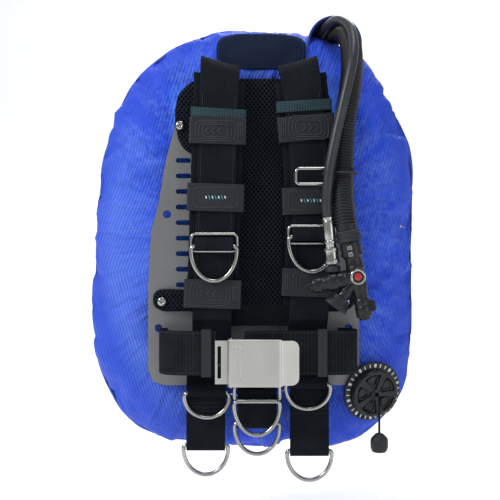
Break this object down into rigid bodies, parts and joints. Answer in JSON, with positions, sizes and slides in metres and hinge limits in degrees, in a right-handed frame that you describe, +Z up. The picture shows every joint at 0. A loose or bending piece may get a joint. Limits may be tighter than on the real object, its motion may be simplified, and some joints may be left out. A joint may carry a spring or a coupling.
{
  "type": "buoyancy compensator vest",
  "caption": "Back-mounted dive buoyancy wing on a steel backplate, with padded harness, cam buckle, rings, inflator hose and dump valve.",
  "frame": {"origin": "on the tank side of the wing's centre panel, midway between the two tank bolt holes", "axes": "+Z up, +Y from the wearer's back towards the tank, +X towards the wearer's left"},
  "size_m": [0.4126, 0.2433, 0.6093],
  "materials": {
    "wing_nylon": "woven nylon, matt, radiating puckers",
    "bladder_film": "welded film",
    "satin_plate": "satin stainless sheet",
    "pad_mesh": "spacer mesh over foam",
    "polished_steel": "polished stainless wire",
    "satin_buckle": "satin stainless",
    "strap_padding": "foam padding in woven cover",
    "webbing": "woven nylon webbing",
    "keeper_rubber": "moulded soft rubber",
    "black_plastic": "moulded plastic",
    "hose_rubber": "smooth rubber"
  },
  "bodies": {
    "harness_and_wing": {"wing_outer_shell": "wing_nylon", "wing_center_panel": "wing_nylon", "hose_hood": "wing_nylon", "wing_bladder": "bladder_film", "backplate": "satin_plate", "back_pad": "pad_mesh", "right_upper_pad_screw": "polished_steel", "left_upper_pad_screw": "polished_steel", "right_lower_pad_screw": "polished_steel", "left_lower_pad_screw": "polished_steel", "hose_retainer_ring": "polished_steel", "crotch_slide": "polished_steel", "buckle_pin": "polished_steel", "lp_fitting": "polished_steel", "qd_socket": "polished_steel", "buckle_base": "satin_buckle", "right_shoulder_pad": "strap_padding", "left_shoulder_pad": "strap_padding", "right_shoulder_webbing": "webbing", "left_shoulder_webbing": "webbing", "right_drop_strap": "webbing", "left_drop_strap": "webbing", "crotch_strap": "webbing", "right_waist_belt": "webbing", "left_waist_belt": "webbing", "right_belt_keeper": "webbing", "left_belt_keeper": "webbing", "hose_bungee": "webbing", "right_upper_keeper": "keeper_rubber", "right_middle_keeper": "keeper_rubber", "right_lower_keeper": "keeper_rubber", "left_upper_keeper": "keeper_rubber", "left_middle_keeper": "keeper_rubber", "left_lower_keeper": "keeper_rubber", "hose_cuff": "keeper_rubber", "qd_nipple": "keeper_rubber", "mouthpiece": "keeper_rubber", "inflator_body": "black_plastic", "hose_elbow": "black_plastic", "dump_valve_base": "black_plastic", "dump_valve_cap": "black_plastic", "corrugated_hose": "hose_rubber", "lp_hose": "hose_rubber"},
    "right_adjuster": {"right_shoulder_slide": "polished_steel"},
    "left_adjuster": {"left_shoulder_slide": "polished_steel"},
    "right_shoulder_ring_body": {"right_shoulder_ring": "polished_steel"},
    "left_shoulder_ring_body": {"left_shoulder_ring": "polished_steel"},
    "right_hip_ring_body": {"right_hip_ring": "polished_steel"},
    "left_hip_ring_body": {"left_hip_ring": "polished_steel"},
    "right_end_ring_body": {"right_end_ring": "polished_steel"},
    "left_end_ring_body": {"left_end_ring": "polished_steel"},
    "crotch_front_ring_body": {"crotch_front_ring": "polished_steel"},
    "crotch_rear_ring_body": {"crotch_rear_ring": "polished_steel"},
    "lever": {"buckle_lever": "satin_buckle"},
    "inflate_button_body": {"inflate_button": "black_plastic"},
    "deflate_button_body": {"deflate_button": "black_plastic"},
    "qd_sleeve_body": {"qd_sleeve": "polished_steel"},
    "dump_pull": {"dump_valve_disc": "keeper_rubber", "pull_cord": "webbing", "pull_knob": "keeper_rubber"}
  },
  "joints": [
    {"name": "right_shoulder_ring_swing", "type": "hinge", "parent": "right_adjuster", "child": "right_shoulder_ring_body", "pos_m": [-0.04968, -0.073, -0.017], "axis": [-1, 0, 0], "range_deg": [0, 150]},
    {"name": "left_shoulder_ring_swing", "type": "hinge", "parent": "left_adjuster", "child": "left_shoulder_ring_body", "pos_m": [0.073, -0.073, -0.005], "axis": [-1, 0, 0], "range_deg": [0, 18]},
    {"name": "right_hip_ring_swing", "type": "hinge", "parent": "harness_and_wing", "child": "right_hip_ring_body", "pos_m": [-0.0595, -0.0535, -0.204], "axis": [-1, 0, 0], "range_deg": [0, 100]},
    {"name": "left_hip_ring_swing", "type": "hinge", "parent": "harness_and_wing", "child": "left_hip_ring_body", "pos_m": [0.0695, -0.0535, -0.193], "axis": [-1, 0, 0], "range_deg": [0, 100]},
    {"name": "right_end_ring_swing", "type": "hinge", "parent": "harness_and_wing", "child": "right_end_ring_body", "pos_m": [-0.0613, -0.046, -0.272], "axis": [-1, 0, 0], "range_deg": [-45, 80]},
    {"name": "left_end_ring_swing", "type": "hinge", "parent": "harness_and_wing", "child": "left_end_ring_body", "pos_m": [0.0717, -0.046, -0.279], "axis": [-1, 0, 0], "range_deg": [-45, 80]},
    {"name": "crotch_front_ring_swing", "type": "hinge", "parent": "harness_and_wing", "child": "crotch_front_ring_body", "pos_m": [0.0045, -0.066, -0.213], "axis": [-1, 0, 0], "range_deg": [0, 75]},
    {"name": "crotch_rear_ring_swing", "type": "hinge", "parent": "harness_and_wing", "child": "crotch_rear_ring_body", "pos_m": [0.0045, -0.0495, -0.243], "axis": [-1, 0, 0], "range_deg": [-45, 25]},
    {"name": "right_slide_adjust", "type": "slide", "parent": "harness_and_wing", "child": "right_adjuster", "axis": [0.032, 0, 0.9995], "range_m": [-0.015, 0.012]},
    {"name": "left_slide_adjust", "type": "slide", "parent": "harness_and_wing", "child": "left_adjuster", "axis": [0, 0, 1], "range_m": [-0.015, 0.01]},
    {"name": "buckle_lever_open", "type": "hinge", "parent": "harness_and_wing", "child": "lever", "pos_m": [-0.028, -0.096, -0.161], "axis": [0, 0, -1], "range_deg": [0, 120]},
    {"name": "inflate_press", "type": "slide", "parent": "harness_and_wing", "child": "inflate_button_body", "axis": [0.9801, 0, 0.1987], "range_m": [0, 0.0035], "stiffness_N_per_m": 500, "springref_m": -0.002},
    {"name": "deflate_press", "type": "slide", "parent": "harness_and_wing", "child": "deflate_button_body", "axis": [-0.1987, 0, 0.9801], "range_m": [0, 0.0035], "stiffness_N_per_m": 500, "springref_m": -0.002},
    {"name": "qd_sleeve_pull", "type": "slide", "parent": "harness_and_wing", "child": "qd_sleeve_body", "axis": [-0.0998, 0, 0.995], "range_m": [0, 0.0045], "stiffness_N_per_m": 600, "springref_m": -0.002},
    {"name": "dump_pull_slide", "type": "slide", "parent": "harness_and_wing", "child": "dump_pull", "axis": [0.3087, -0.9303, -0.1983], "range_m": [0, 0.004], "stiffness_N_per_m": 500, "springref_m": -0.002}
  ]
}
